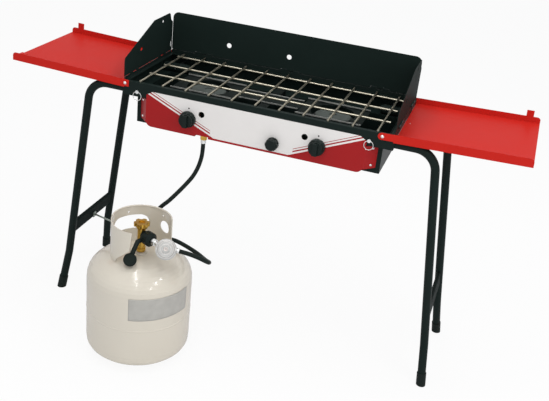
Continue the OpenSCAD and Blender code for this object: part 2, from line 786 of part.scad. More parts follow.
// Side screen in profile: Y along x, height above its pivot along y
module side_outline(bottom) {
    top = screen_top - side_pivot_z;
    front = rim_top + screen_front_h - side_pivot_z;
    back = screen_back_y - 0.6;
    y_level = back - 22 - screen_level;
    difference() {
        polygon([[0, bottom], [back, bottom], [back, top - 34],
            [back - 14, top - 24], [back - 20, top - 6], [back - 27, top],
            [y_level, top], [4, front + 8], [0, front]]);
        translate([back - 78, top - 17]) circle(d = 9);
        translate([114, 56]) rotate([0, 0, 12]) slot_2d(16, 9);
        translate([back - 9, 20]) rotate([0, 0, 90]) slot_2d(19, 5);
        // room for the fixed knuckles
        for (y = side_hinges()) for (k = [-1, 1])
            translate([y + k * knuckle - knuckle / 2, -10])
                square([knuckle, 10 + pivot_r + 0.6]);
        for (y = side_hinges()) translate([y - knuckle / 2 - e, -10])
            square([knuckle + 2 * e, 10 - 0.6]);
    }
}

module side_screen() {
    translate([screen_x, 0, side_pivot_z]) rotate([90, 0, 90])
        linear_extrude(screen_t) side_outline(-leaf_low);
    for (y = side_hinges()) translate([side_pivot_x, 0, side_pivot_z])
        knuckle_y(y - knuckle / 2 + gap, y + knuckle / 2 - gap);
}
module screen_right() placed() color([0.1, 0.12, 0.12]) side_screen();
module screen_left() placed() color([0.1, 0.12, 0.12]) mirror([1, 0, 0]) side_screen();

module screen_back() placed() color([0.1, 0.12, 0.12]) {
    low = back_pivot_z - leaf_low;
    corner = 20;
    difference() {
        translate([0, screen_back_y + screen_t, 0]) rotate([90, 0, 0])
            linear_extrude(screen_t) {
                translate([-back_half, low])
                    square([2 * back_half, screen_top - corner - low]);
                translate([-back_half + corner, low])
                    square([2 * (back_half - corner), screen_top - low]);
                for (s = [-1, 1])
                    translate([s * (back_half - corner), screen_top - corner])
                        circle(r = corner);
            }
        for (x = [-214, -7])
            along_y(x, rim_top + 61, screen_back_y - 5, screen_back_y + 5,
                    screen_hole_d / 2);
        // room for the fixed knuckles
        for (x = back_hinges()) for (k = [-1, 1])
            block([x + k * knuckle - knuckle / 2, screen_back_y - 1, low - 5],
                  [x + k * knuckle + knuckle / 2, screen_back_y + screen_t + 1,
                   back_pivot_z + pivot_r + 0.6]);
        for (x = back_hinges())
            block([x - knuckle / 2 - e, screen_back_y - 1, low - 5],
                  [x + knuckle / 2 + e, screen_back_y + screen_t + 1,
                   back_pivot_z - 0.6]);
    }
    for (x = back_hinges())
        translate([0, back_pivot_y, back_pivot_z]) rotate([0, 0, -90])
            knuckle_y(x - knuckle / 2 + gap, x + knuckle / 2 - gap);
}

// ---------------------------------------------------------------- shelves

// Shelf wall seen from the front: X from the middle outward, Z up
module shelf_wall_2d(hinge_x, arm_end, round_end) {
    z0 = shelf_floor - shelf_hang;
    z1 = z0 + shelf_wall;
    x0 = rim_l / 2 - 3;
    r = 10;
    difference() {
        union() {
            translate([x0, z0]) square([shelf_reach - x0, shelf_wall - r]);
            translate([x0, z0]) square([shelf_reach - x0 - r, shelf_wall]);
            translate([shelf_reach - r, z1 - r]) circle(r = r);
            if (round_end) {
                translate([hinge_x - 3, hinge_z - arm_h / 2])
                    square([x0 + 1 - hinge_x + 3, arm_h]);
                translate([hinge_x - 3, hinge_z]) circle(d = arm_h);
            } else {
                translate([arm_end, hinge_z - arm_h / 2])
                    square([x0 + 1 - arm_end, arm_h]);
            }
        }
        translate([hinge_x, hinge_z]) circle(d = bolt_d + 2 * slip);
    }
}

// A shelf slopes up from its hinge bolts
module shelf(hinge_x, arm_end, round_end) {
    tab_l = 22;
    tab_x = shelf_reach - 44;
    z1 = shelf_floor - shelf_hang + shelf_wall;
    translate([hinge_x, 0, hinge_z]) rotate([0, -shelf_rise, 0])
        translate([-hinge_x, 0, -hinge_z]) {
            for (y = [shelf_front + shelf_t, shelf_back])
                translate([0, y, 0]) rotate([90, 0, 0]) linear_extrude(shelf_t)
                    shelf_wall_2d(hinge_x, arm_end, round_end);
            // floor, with its outer edge turned down; the right one has a
            // small hole near the stove
            difference() {
                block([shelf_inner, shelf_front, shelf_floor],
                      [shelf_reach, shelf_back, shelf_floor + shelf_t]);
                if (round_end) translate([shelf_inner + 14, 165, shelf_floor - 1])
                    cylinder(h = 4, r = 2.5);
            }
            block([shelf_reach - shelf_t, shelf_front + 8, shelf_floor - 9],
                  [shelf_reach, shelf_back - 8, shelf_floor + shelf_t]);
            // upright tab at the back, folded-in tab at the front
            block([tab_x, shelf_back - shelf_t, z1 - 1],
                  [tab_x + tab_l, shelf_back, z1 + shelf_tab]);
            block([tab_x, shelf_front, z1 - shelf_t],
                  [tab_x + tab_l, shelf_front + 17, z1]);
        }
}
module shelf_left() placed() color([0.75, 0.17, 0.15]) mirror([1, 0, 0])
    shelf(left_hinge_x, left_hinge_x - 12, false);
module shelf_right() placed() color([0.75, 0.17, 0.15])
    shelf(right_hinge_x, right_hinge_x - 13, true);

// Hinge bolts with their nuts behind the skirt
module shelf_bolts() placed() color([0.76, 0.77, 0.76])
    for (x = [-left_hinge_x, right_hinge_x]) for (k = [0, 1])
        translate([x, k * rim_w, hinge_z]) mirror([0, k, 0]) {
            out = shelf_front - gap;
            translate([0, out, 0]) rotate([90, 0, 0]) {
                cylinder(h = bolt_head - 2, r = bolt_head_r);
                translate([0, 0, bolt_head - 2])
                    cylinder(h = 2, r1 = bolt_head_r, r2 = bolt_head_r - 2.2);
            }
            along_y(0, 0, out - e, steel_t + nut_t + 1, bolt_d / 2);
            translate([0, steel_t, 0]) rotate([-90, 30, 0]) difference() {
                hex(bolt_nut, nut_t);
                translate([0, 0, -1]) cylinder(h = nut_t + 2, d = bolt_d + 2 * slip);
            }
        }

// ------------------------------------------------------------------- legs

leg_tilt = atan2(foot_x - leg_corner_x, leg_z);
leg_turn = 90 - leg_tilt;
bend_x = leg_corner_x - leg_bend * tan(leg_turn / 2);
function leg_at(z) = leg_corner_x + (foot_x - leg_corner_x) * (leg_z - z) / leg_z;

// A tube with a bore from one point to another
module tube_bar(p, q, r, bore) difference() {
    v = (q - p) / norm(q - p);
    bar(p, q, r);
    bar(p - v, q + v, bore);
}

// Everything on the far side of a plane through p, looking along n
module beyond(p, n) translate(p)
    rotate([0, acos(n.z / norm(n)), atan2(n.y, n.x)])
        translate([-60, -60, 0]) cube([120, 120, 900]);

// A leg: its level run, its bend, its slope and its foot. out is +1 for a
// back leg, whose foot is set back, and -1 for a front leg.
module leg(y, out, pin_x) {
    r = leg_d / 2;
    bore = r - leg_wall;
    inner = rim_l / 2 - leg_grip;
    start = [bend_x + leg_bend * cos(leg_tilt), y,
             leg_z - leg_bend + leg_bend * sin(leg_tilt)];
    knee = [leg_at(kink_z), y, kink_z];
    tip = [leg_at(8), y + out * kink_y * (kink_z - 8) / kink_z, 8];
    slope = unit(knee - start);
    foot = unit(tip - knee);
    difference() {
        tube_bar([inner, y, leg_z], [bend_x - seam, y, leg_z], r, bore);
        along_y(pin_x, leg_z, y - 30, y + 30, pin_d / 2 + slip);
    }
    translate([bend_x, y, leg_z - leg_bend]) rotate([90, 0, 0])
        rotate([0, 0, leg_tilt]) rotate_extrude(angle = leg_turn)
            translate([leg_bend, 0]) difference() {
                circle(r = r);
                circle(r = bore);
            }
    difference() {
        tube_bar(start + seam * slope, knee + 5 * slope, r, bore);
        beyond(knee - seam / 2 * slope, slope + foot);
    }
    difference() {
        tube_bar(knee - 5 * foot, tip, r, bore);
        beyond(knee + seam / 2 * slope, -slope - foot);
    }
}
module leg_front_right() placed() color([0.1, 0.13, 0.12])
    leg(leg_y_front, -1, pin_right_x);
module leg_back_right() placed() color([0.1, 0.13, 0.12])
    leg(leg_y_back, 1, pin_right_x);
module leg_front_left() placed() color([0.1, 0.13, 0.12])
    mirror([1, 0, 0]) leg(leg_y_front, -1, pin_left_x);
module leg_back_left() placed() color([0.1, 0.13, 0.12])
    mirror([1, 0, 0]) leg(leg_y_back, 1, pin_left_x);

// Rubber tips, cut level with the floor
module leg_tips() placed() color([0.06, 0.07, 0.07])
    for (s = [0, 1]) mirror([s, 0, 0])
        for (f = [[leg_y_front, -1], [leg_y_back, 1]]) {
            knee = [leg_at(kink_z), f[0], kink_z];
            low = [leg_at(-12), f[0] + f[1] * kink_y * (kink_z + 12) / kink_z, -12];
            way = (low - knee) / norm(low - knee);
            intersection() {
                difference() {
                    bar(low - way * 52, low, leg_d / 2 + 2);
                    bar(low - way * 60, low - way * (20 / abs(way.z)), leg_d / 2 + 0.05);
                }
                translate(low + [-60, -60, 12]) cube([120, 120, 60]);
            }
        }

// Flat-oval brace tubes, coped to the legs
module leg_braces() placed() color([0.11, 0.14, 0.13])
    for (s = [0, 1]) mirror([s, 0, 0]) difference() {
        translate([leg_at(brace_z), leg_y_back, brace_z]) rotate([90, 90 - leg_tilt, 0])
            linear_extrude(leg_y_back - leg_y_front) difference() {
                slot_2d(brace_h, 13);
                slot_2d(brace_h - 3, 10);
            }
        for (y = [leg_y_front, leg_y_back])
            bar([leg_at(kink_z), y, kink_z], [leg_at(400), y, 400], leg_d / 2);
    }

// Hook under the left brace, for the coiled hose or a lantern
module brace_hook() placed() color([0.2, 0.25, 0.22]) {
    x = -leg_at(brace_z) + 7.5;
    y = (leg_y_front + leg_y_back) / 2;
    z = brace_z - 10;
    block([x - e, y - 9, z - 9], [x + 2.5, y + 9, z + 9]);
    bar([x + 2, y, z], [x + 74, y - 16, z - 2], 3);
    translate([x + 74, y - 16, z - 2]) sphere(r = 3.2, $fn = 24);
    bar([x + 74, y - 16, z - 2], [x + 86, y - 18, z + 20], 3);
}

// Lock pin with its pull ring, which runs through the pin's head. way is -1
// at the front and 1 at the back; reach is where the point lies past the leg.
module lock_pin(x, face, way, reach) {
    y0 = face + way * pin_neck;
    y1 = y0 + way * pin_head_t;
    along_y(x, leg_z, min(y0, reach), max(y0, reach), pin_d / 2);
    along_y(x, leg_z, min(y0, y1), max(y0, y1), pin_head_d / 2);
    wire_ring([x, y0 + way * 2, leg_z - ring_d / 2 + ring_wire / 2],
              ring_d, ring_wire);
}
module pin_front_left() placed() color([0.75, 0.76, 0.77])
    lock_pin(-pin_left_x, 0, -1, leg_y_front + sleeve_r + 3);
module pin_front_right() placed() color([0.75, 0.76, 0.77])
    lock_pin(pin_right_x, 0, -1, leg_y_front + sleeve_r + 3);
module pin_back_left() placed() color([0.75, 0.76, 0.77])
    lock_pin(-pin_left_x, rim_w, 1, leg_y_back - sleeve_r + 2);
module pin_back_right() placed() color([0.75, 0.76, 0.77])
    lock_pin(pin_right_x, rim_w, 1, leg_y_back - sleeve_r + 2);

// ----------------------------------------------------------- gas cylinder

module at_tank() placed() translate([-tank_x, -tank_y, 0]) children();

// Height of a head at a share f of its radius, as a share of its full height.
// n is 2 for an ellipse and larger for a fuller head.
function head_at(f, n) = pow(1 - pow(f, n), 1 / n);

// Half outline of a domed shell of radius r, as points
function shell_points(r, base, low, side, high) = concat(
    [[0, base]],
    [for (a = [80 : -10 : 0]) [r * pow(cos(a), 2 / base_n),
        low - (low - base) * pow(sin(a), 2 / base_n)]],
    [for (a = [0 : 7.5 : 82.5]) [r * pow(cos(a), 2 / dome_n),
        side + (high - side) * pow(sin(a), 2 / dome_n)]],
    [[0, high]]);

module tank_shell() at_tank() color([0.86, 0.84, 0.8]) {
    difference() {
        union() {
            rotate_extrude($fn = 96) polygon(shell_points(shell_r, shell_base,
                shell_base + base_h, shell_side_top, shell_top));
            translate([0, 0, shell_top - 4]) cylinder(h = 8, r = 20);
        }
        rotate_extrude($fn = 96) polygon(shell_points(shell_r - tank_wall,
            shell_base + tank_wall, shell_base + base_h, shell_side_top,
            shell_top - tank_wall));
        translate([0, 0, shell_top - 10]) cylinder(h = 20, r = 12);
    }
    // weld seam round the middle
    translate([0, 0, (shell_side_top + shell_base + base_h) / 2])
        rotate_extrude($fn = 96) translate([shell_r, 0])
            polygon([[-1, -3], [0, -3], [weld_t, -1.5], [weld_t, 1.5], [0, 3],
                [-1, 3]]);
}

// Height of the shell's upper dome at a given radius
function dome_z(r) = shell_side_top + dome_h * head_at(r / shell_r, dome_n);

module foot_ring() at_tank() color([0.84, 0.82, 0.78]) difference() {
    union() {
        cylinder(h = foot_ring_h, r = foot_ring_r);
        cylinder(h = 3, r = foot_ring_r + 3);
    }
    translate([0, 0, -1]) cylinder(h = foot_ring_h + 2, r = foot_ring_r - foot_ring_t);
    for (a = [45, 135]) rotate([0, 0, a])
        along_x(0, (foot_ring_h + 3) / 2, -120, 120, 2.5);
}

// Collar: a band open towards the outlet, with two hand-holds and a rolled rim
// that ends before the lower panel in front
module collar() at_tank() color([0.86, 0.84, 0.8]) difference() {
    r = collar_d / 2;
    low = dome_z(r - collar_t) + gap;
    open_from = -80;
    open_to = 25;
    span = 360 - (open_to - open_from);
    slot_z = tank_h - 56;
    union() {
        rotate([0, 0, open_to]) rotate_extrude(angle = span, $fn = 96)
            translate([r - collar_t, low]) square([collar_t, tank_h - collar_rim - low]);
        rotate([0, 0, open_to]) rotate_extrude(angle = span, $fn = 96)
            translate([r - collar_rim, tank_h - collar_rim]) circle(r = collar_rim, $fn = 24);
    }
    // wide hand-hold on the left and narrow one at the back
    rotate([0, 0, 142]) translate([0, 0, slot_z]) rotate([90, 0, 90])
        linear_extrude(r + 10) slot_2d(118, 46);
    rotate([0, 0, 62]) translate([0, 0, slot_z]) rotate([90, 0, 90])
        linear_extrude(r + 10) slot_2d(42, 38);
    for (a = [69, 142]) rotate([0, 0, a]) along_x(0, tank_h - 22, r - 10, r + 10, 3);
    // lower top edge of the front panel
    rotate([0, 0, 197]) rotate_extrude(angle = open_from + 360 - 197 + 1, $fn = 96)
        translate([r - 10, tank_h - 7]) square([20, 12]);
    // slanted end of the front panel, over the dust cap
    translate([0, -60, 0]) rotate([90, 0, 0]) linear_extrude(60)
        polygon([[13, tank_h + 5], [4.5, tank_h - 68], [-36, tank_h - 103],
            [-52, low - 8], [60, low - 8], [60, tank_h + 5]]);
    // rounded lower corner of the opening
    rotate([0, 0, open_to]) translate([r, 0, low - 4])
        rotate([0, 90, 0]) cylinder(h = 20, r = 16, center = true);
}

// Brass valve: a threaded boss, a body, its outlet and its relief plug
module tank_valve() at_tank() color([0.69, 0.54, 0.18]) difference() {
    union() {
        translate([0, 0, shell_top - 2]) cylinder(h = 12, r = 11.8);
        translate([0, 0, shell_top + 8]) cylinder(h = 8, d = 30, $fn = 8);
        translate([0, 0, shell_top + 15])
            cylinder(h = valve_top - shell_top - 15, r = valve_r);
        rotate([0, 0, outlet_a]) along_x(0, outlet_z, 0, nut_in, outlet_r);
        rotate([0, 0, outlet_a]) along_x(0, outlet_z, nut_in - 1, nut_out - 9, 9.5);
        rotate([0, 0, outlet_a + 150]) along_x(0, outlet_z, 0, 21, 7);
        translate([0, 0, valve_top]) cylinder(h = 6, r = 8);
    }
    translate([0, 0, valve_top - 14]) cylinder(h = 22, r = 3.5 + slip);
    rotate([0, 0, outlet_a]) along_x(0, outlet_z, nut_in - 4, nut_out, 5);
}

// Star handwheel on the valve's spindle
module handwheel() at_tank() color([0.74, 0.58, 0.2]) {
    z = valve_top + 6.5;
    translate([0, 0, valve_top - 13]) cylinder(h = 20, r = 3.5);
    translate([0, 0, z]) difference() {
        cylinder(h = 12, d = wheel_d);
        for (i = [0 : 5]) rotate([0, 0, 60 * i]) translate([wheel_d / 2 + 3, 0, -1])
            cylinder(h = 14, r = 8);
        translate([0, 0, 8]) cylinder(h = 5, r = 10);
    }
}

// Black coupling nut with grip ribs
module coupling_nut() at_tank() color([0.07, 0.08, 0.08]) rotate([0, 0, outlet_a])
    difference() {
        union() {
            along_x(0, outlet_z, nut_in + gap, nut_out - 4, nut_d / 2);
            translate([nut_out - 4, 0, outlet_z]) rotate([0, 90, 0])
                cylinder(h = 6, r1 = nut_d / 2, r2 = 12);
        }
        along_x(0, outlet_z, nut_in, nut_out - 8, 9.5 + slip);
        along_x(0, outlet_z, nut_in, nut_out + 3, 6.8 + slip);
        for (i = [0 : 11]) translate([0, 0, outlet_z]) rotate([30 * i, 0, 0])
            along_x(0, nut_d / 2 + 1.6, nut_in, nut_out - 6, 3);
    }

// Nipple that carries the gas from the coupling to the regulator
module inlet_nipple() at_tank() color([0.62, 0.63, 0.62]) rotate([0, 0, outlet_a]) {
    along_x(0, outlet_z, nut_out - 8.5, nipple_out, 6.8);
    translate([nut_out + 8, 0, outlet_z]) rotate([0, 90, 0]) hex(19, 9);
}

// Where the regulator's middle lies
reg_mid = [-tank_x + regulator_at * cos(outlet_a),
           -tank_y + regulator_at * sin(outlet_a), outlet_z];

// Regulator: a round diaphragm housing with an inlet boss and an outlet boss
module regulator_boss() placed() {
    mouth = hose_last + ferrule_reach * hose_way;
    bar(mouth, mouth + 14 * hose_way, 8);
    bar(mouth + 9 * hose_way, reg_mid, 7);
}
module regulator() color([0.83, 0.82, 0.81]) {
    regulator_housing();
    regulator_boss();
}
module regulator_housing() placed() {
    translate(reg_mid) rotate([0, regulator_lean, regulator_turn]) difference() {
        union() {
            translate([0, 0, -11]) cylinder(h = 10, d1 = regulator_d - 16, d2 = regulator_d);
            translate([0, 0, -1]) cylinder(h = 5, d = regulator_d + 4);
            translate([0, 0, 4]) cylinder(h = 8, d1 = regulator_d, d2 = regulator_d - 18);
            translate([0, 0, 11]) cylinder(h = 6, d = 20);
            for (i = [0 : 5]) rotate([0, 0, 60 * i + 30])
                translate([regulator_d / 2 - 2, 0, 3]) cylinder(h = 4, r = 3);
        }
        translate([0, 0, 14]) cylinder(h = 5, d = 14);
    }
    translate(reg_mid) rotate([0, 0, outlet_a])
        along_x(0, 0, nipple_out - regulator_at, 0, 9);
}

// Dust cap that hangs from the outlet on its strap
module dust_cap() at_tank() color([0.07, 0.08, 0.08]) {
    c = [4, -80, dome_z(80) + 21];
    start = [12, -17, outlet_z - 7];
    bend = [3, -31, outlet_z - 10];
    strap_r = 7;
    translate(c) rotate([60, 0, 20]) {
        cylinder(h = 20, d = 34, center = true);
        translate([0, 0, 2]) cylinder(h = 5, d = 39, center = true);
    }
    difference() {
        union() {
            rotate([0, 0, outlet_a]) along_x(0, outlet_z, valve_r + 0.5, nut_in - gap, 16);
            bar(start, bend, strap_r);
            translate(bend) sphere(r = strap_r + 0.1, $fn = 24);
            bar(bend, c + [0, 8, 10], strap_r);
        }
        translate([0, 0, shell_top]) cylinder(h = tank_h, r = valve_r + gap);
        rotate([0, 0, outlet_a]) along_x(0, outlet_z, 0, nut_in + 2, outlet_r + slip);
        rotate([0, 0, outlet_a]) along_x(0, outlet_z, nut_in, nut_out + 5, nut_d / 2 + gap);
    }
}

// ------------------------------------------------------------------- hose

ferrule_reach = 5.5;
hose_last = HOSE[len(HOSE) - 1];
hose_way = (hose_last - HOSE[len(HOSE) - 2]) / norm(hose_last - HOSE[len(HOSE) - 2]);

// Crimped ferrules: one under the inlet's nut, one on the regulator's outlet
module hose_ferrules() placed() color([0.6, 0.61, 0.6]) {
    translate([inlet_x, manifold_y, hose_top]) {
        difference() {
            cylinder(h = ferrule_h, d = ferrule_d);
            for (z = [4, 8]) translate([0, 0, z]) difference() {
                cylinder(h = 1.2, d = ferrule_d + 2);
                cylinder(h = 1.2, d = ferrule_d - 1.2);
            }
        }
        cylinder(h = ferrule_h + 6, d = 6.6);
    }
    bar(hose_last + 0.4 * hose_way, hose_last + ferrule_reach * hose_way, ferrule_d / 2);
}

// Smooth curve through the route's points
function curve(p, i, t) =
    let (a = p[max(i - 1, 0)], b = p[i], c = p[i + 1], d = p[min(i + 2, len(p) - 1)])
    0.5 * (2 * b + t * (c - a) + t * t * (2 * a - 5 * b + 4 * c - d)
        + t * t * t * (3 * b - a - 3 * c + d));
steps = 3;
function route(p) = concat(
    [for (i = [0 : len(p) - 2]) for (k = [0 : steps - 1]) curve(p, i, k / steps)],
    [p[len(p) - 1]]);
function unit(v) = v / norm(v);
function heading(p, i) = unit(p[min(i + 1, len(p) - 1)] - p[max(i - 1, 0)]);
// A frame is carried along the route, so that the tube doesn't twist
function frames(p, i, u) =
    let (h = heading(p, i), w = unit(u - (u * h) * h))
    i == len(p) - 1 ? [w] : concat([w], frames(p, i + 1, w));

module tube(p, r, sides) {
    up = frames(p, 0, [1, 0, 0]);
    n = len(p);
    pts = [for (i = [0 : n - 1]) for (k = [0 : sides - 1])
        let (a = 360 / sides * k, h = heading(p, i))
        p[i] + r * (cos(a) * up[i] + sin(a) * cross(h, up[i]))];
    sides_f = [for (i = [0 : n - 2]) for (k = [0 : sides - 1])
        let (j = (k + 1) % sides, a = i * sides)
        each [[a + k, a + sides + k, a + sides + j], [a + k, a + sides + j, a + j]]];
    caps = concat([for (k = [1 : sides - 2]) [0, k, k + 1]],
        [for (k = [1 : sides - 2]) let (a = (n - 1) * sides) [a, a + k + 1, a + k]]);
    polyhedron(concat(pts), concat(sides_f, caps));
}

module gas_hose() placed() color([0.08, 0.1, 0.1]) tube(route(HOSE), hose_d / 2, 12);

// -------------------------------------------------------------- all parts

stove_body();
control_panel();
panel_screws();
drip_tray();
leg_sockets();
burner_left();
burner_right();
burner_cap_left();
burner_cap_right();
burner_rails();
burner_bolts();
baffle_left();
baffle_right();
igniter_shield();
air_shutters();
gas_manifold();
valve_left();
valve_right();
knob_left();
knob_right();
valve_stem_left();
valve_stem_right();
igniter_module();
igniter_knob();
electrodes();
igniter_leads();
inlet_fitting();
grate();
screen_strips();
screen_pins();
screen_back();
screen_left();
screen_right();
shelf_left();
shelf_right();
shelf_bolts();
leg_front_left();
leg_back_left();
leg_front_right();
leg_back_right();
leg_braces();
brace_hook();
leg_tips();
pin_front_left();
pin_back_left();
pin_front_right();
pin_back_right();
tank_shell();
foot_ring();
collar();
tank_valve();
handwheel();
coupling_nut();
inlet_nipple();
regulator();
dust_cap();
hose_ferrules();
gas_hose();
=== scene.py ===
import math

import bmesh
import bpy
from mathutils import Matrix, Vector


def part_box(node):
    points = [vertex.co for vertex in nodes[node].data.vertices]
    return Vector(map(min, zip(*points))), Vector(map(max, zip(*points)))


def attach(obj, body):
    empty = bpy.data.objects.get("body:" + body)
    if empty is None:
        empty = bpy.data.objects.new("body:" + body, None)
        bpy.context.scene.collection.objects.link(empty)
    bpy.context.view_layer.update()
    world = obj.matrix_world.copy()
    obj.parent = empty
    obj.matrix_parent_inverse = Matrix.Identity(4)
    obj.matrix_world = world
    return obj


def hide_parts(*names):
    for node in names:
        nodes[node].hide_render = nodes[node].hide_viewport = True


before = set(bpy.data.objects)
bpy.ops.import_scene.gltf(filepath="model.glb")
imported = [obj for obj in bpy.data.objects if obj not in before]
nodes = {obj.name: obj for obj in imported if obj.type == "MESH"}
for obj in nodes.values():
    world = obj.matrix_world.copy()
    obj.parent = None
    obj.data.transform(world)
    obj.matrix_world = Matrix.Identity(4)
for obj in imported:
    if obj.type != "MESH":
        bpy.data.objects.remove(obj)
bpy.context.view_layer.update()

# ---------------------------------------------------------------- the studio
# A pale floor that runs out of sight, a white sky, two soft lamps and two
# long strip lamps overhead. The camera stands before the right half.
SETBACK = 0.00165               # rim's front edge to the middle of the footprint
CAMERA_PLACE = (716.6, -2281.9, 1647.0)     # mm, from the rim's front edge
CAMERA_SWING, CAMERA_RISE, CAMERA_TILT = (math.radians(a) for a in (15.3, 25.8, 6.4))
SENSOR_WIDTH, LENS = 36, 57.03
FAR_CLIP = 50
SKY_COLOUR, SKY_LIGHT = (0.96, 0.97, 1, 1), 0.6
WHITE = (1, 1, 1, 1)
FLOOR_REACH = 30
FLOOR_COLOUR = (0.92, 0.92, 0.92, 1)
FLOOR_GLOW = 0.91               # the share of plain white in how it looks


def at(x, y, z):
    """A point given in millimetres from the rim's front edge."""
    return Vector((x / 1000, y / 1000 - SETBACK, z / 1000))


def studio_camera():
    """Looks down and to the left, with its head tilted a little."""
    back = Vector((math.sin(CAMERA_SWING) * math.cos(CAMERA_RISE),
                   -math.cos(CAMERA_SWING) * math.cos(CAMERA_RISE),
                   math.sin(CAMERA_RISE)))
    right = Vector((math.cos(CAMERA_SWING), math.sin(CAMERA_SWING), 0))
    up = right.cross(-back)
    level = right * math.cos(CAMERA_TILT) + up * math.sin(CAMERA_TILT)
    tall = up * math.cos(CAMERA_TILT) - right * math.sin(CAMERA_TILT)
    data = bpy.data.cameras.new("camera")
    data.sensor_fit = "HORIZONTAL"
    data.sensor_width = SENSOR_WIDTH
    data.lens = LENS
    data.clip_end = FAR_CLIP
    cam = bpy.data.objects.new("camera", data)
    bpy.context.scene.collection.objects.link(cam)
    turn = Matrix((level, tall, back)).transposed().to_4x4()
    cam.matrix_world = Matrix.Translation(at(*CAMERA_PLACE)) @ turn
    bpy.context.scene.camera = cam


def area_lamp(name, width, height, watts, turn, mirrored):
    """A flat lamp, which shiny pieces mirror or not."""
    data = bpy.data.lights.new(name, "AREA")
    data.shape = "RECTANGLE"
    data.size = width
    data.size_y = height
    data.energy = watts
    obj = bpy.data.objects.new(name, data)
    bpy.context.scene.collection.objects.link(obj)
    obj.matrix_world = turn
    obj.visible_glossy = mirrored


def soft_lamp(name, place, aim, width, height, watts):
    """A soft box that faces a point."""
    way = (Vector(aim) - Vector(place)).to_track_quat("-Z", "Y").to_matrix().to_4x4()
    area_lamp(name, width, height, watts, Matrix.Translation(place) @ way,
              mirrored=False)


def strip_lamp(name, start, end, aim, width, watts):
    """A long tube of light from one point to another, facing a third."""
    a, b = Vector(start), Vector(end)
    mid, along = (a + b) / 2, (b - a).normalized()
    back = (mid - Vector(aim)).normalized()
    back = (back - back.dot(along) * along).normalized()
    turn = Matrix((along, back.cross(along), back)).transposed().to_4x4()
    area_lamp(name, (b - a).length, width, watts, Matrix.Translation(mid) @ turn,
              mirrored=True)


def plug(socket, value):
    """Sets a socket to a plain value, or links another node's output to it."""
    if isinstance(value, bpy.types.NodeSocket):
        socket.id_data.links.new(value, socket)
    else:
        socket.default_value = value


def fill(node, **values):
    """Sets or links a node's sockets by their names."""
    for name, value in values.items():
        plug(node.inputs[name.replace("_", " ")], value)


def add_node(tree, kind, **values):
    """A new shader node with its sockets filled."""
    node = tree.nodes.new("ShaderNode" + kind)
    fill(node, **values)
    return node


def sums(kind, *values):
    """Reckons with plain numbers and with values that change over the surface."""
    tree = next(v.id_data for v in values if isinstance(v, bpy.types.NodeSocket))
    node = add_node(tree, "Math")
    node.operation = kind
    for socket, value in zip(node.inputs, values):
        plug(socket, value)
    return node.outputs[0]


def show_mixed(tree, share, one, other, kind):
    """Ends a tree in a mix of two shaders, with a share of the second."""
    mix = add_node(tree, "MixShader")
    for socket, value in zip(mix.inputs, (share, one.outputs[0], other.outputs[0])):
        plug(socket, value)
    add_node(tree, kind, Surface=mix.outputs[0])


def white_sky():
    """Lights the stove softly, and is plain white where it is seen."""
    world = bpy.data.worlds.new("sky")
    bpy.context.scene.world = world
    world.use_nodes = True
    tree = world.node_tree
    tree.nodes.clear()
    seen = add_node(tree, "LightPath").outputs
    direct = sums("MAXIMUM", seen["Is Camera Ray"], seen["Is Glossy Ray"])
    share = sums("MAXIMUM", direct, seen["Is Transmission Ray"])
    plain = add_node(tree, "Background", Color=SKY_COLOUR, Strength=SKY_LIGHT)
    white = add_node(tree, "Background", Color=WHITE, Strength=1)
    show_mixed(tree, share, plain, white, "OutputWorld")


def pale_floor():
    """A matt floor that keeps the shadows, mixed with white where it is seen."""
    r = FLOOR_REACH
    mesh = bpy.data.meshes.new("floor")
    mesh.from_pydata([(-r, -r, 0), (r, -r, 0), (r, r, 0), (-r, r, 0)],
                     [], [(0, 1, 2, 3)])
    obj = bpy.data.objects.new("floor", mesh)
    bpy.context.scene.collection.objects.link(obj)
    material = bpy.data.materials.new("floor")
    material.use_nodes = True
    tree = material.node_tree
    tree.nodes.clear()
    seen = add_node(tree, "LightPath").outputs
    share = sums("MULTIPLY", seen["Is Camera Ray"], FLOOR_GLOW)
    matt = add_node(tree, "BsdfDiffuse", Color=FLOOR_COLOUR)
    glow = add_node(tree, "Emission", Color=WHITE, Strength=1)
    show_mixed(tree, share, matt, glow, "OutputMaterial")
    obj.data.materials.append(material)


bpy.context.scene.view_settings.view_transform = "Standard"
studio_camera()
white_sky()
pale_floor()
soft_lamp("front lamp", place=(1.0, -3.8, 1.6), aim=(0, 0, 0.55),
          width=2.4, height=1.8, watts=11)
soft_lamp("right lamp", place=(3.3, -1.6, 2.0), aim=(0, 0, 0.5),
          width=1.4, height=1.4, watts=18)
strip_lamp("left strip", start=(-0.9, 0.7, 2.9), end=(0.55, -2.6, 2.9),
           aim=(-0.1, 0, 0.4), width=0.07, watts=22)
strip_lamp("right strip", start=(0.45, 1.5, 2.9), end=(2.2, -2.3, 2.9),
           aim=(0.1, 0, 0.4), width=0.07, watts=22)

# ------------------------------------------------------------------ gas hose
# A black rubber hose with a fabric braid under its skin, crimped at both ends.
# It drops from the stove's inlet, rounds the collar and loops to the regulator.
HOSE_WIDTH = 0.013
HOSE_SIDES = 28
HOSE_STEPS = 8                  # rings from one point of the route to the next
HOSE_ROUTE = [
    (-157, 20, 628.6), (-157, 19, 605.5), (-158, 15, 581.4), (-163, 7, 553.2),
    (-173, -5, 524.9), (-189, -20, 498.7), (-208, -38, 472.4),
    (-228, -55, 447.2), (-250, -68, 424), (-266, -76, 396), (-272, -82, 366),
    (-262, -88, 343), (-239, -92, 335), (-212, -92, 336), (-185, -91, 336),
    (-156, -94, 331), (-126, -103, 327), (-97, -119, 327), (-72, -141, 331),
    (-52, -163, 338), (-37, -181, 346), (-31, -199, 356), (-36, -214, 367),
    (-49, -225, 378), (-68, -232, 386), (-88, -237, 391), (-108, -241, 394)]
NEARLY_ALONG = 0.95             # a tube this near its side axis takes another one


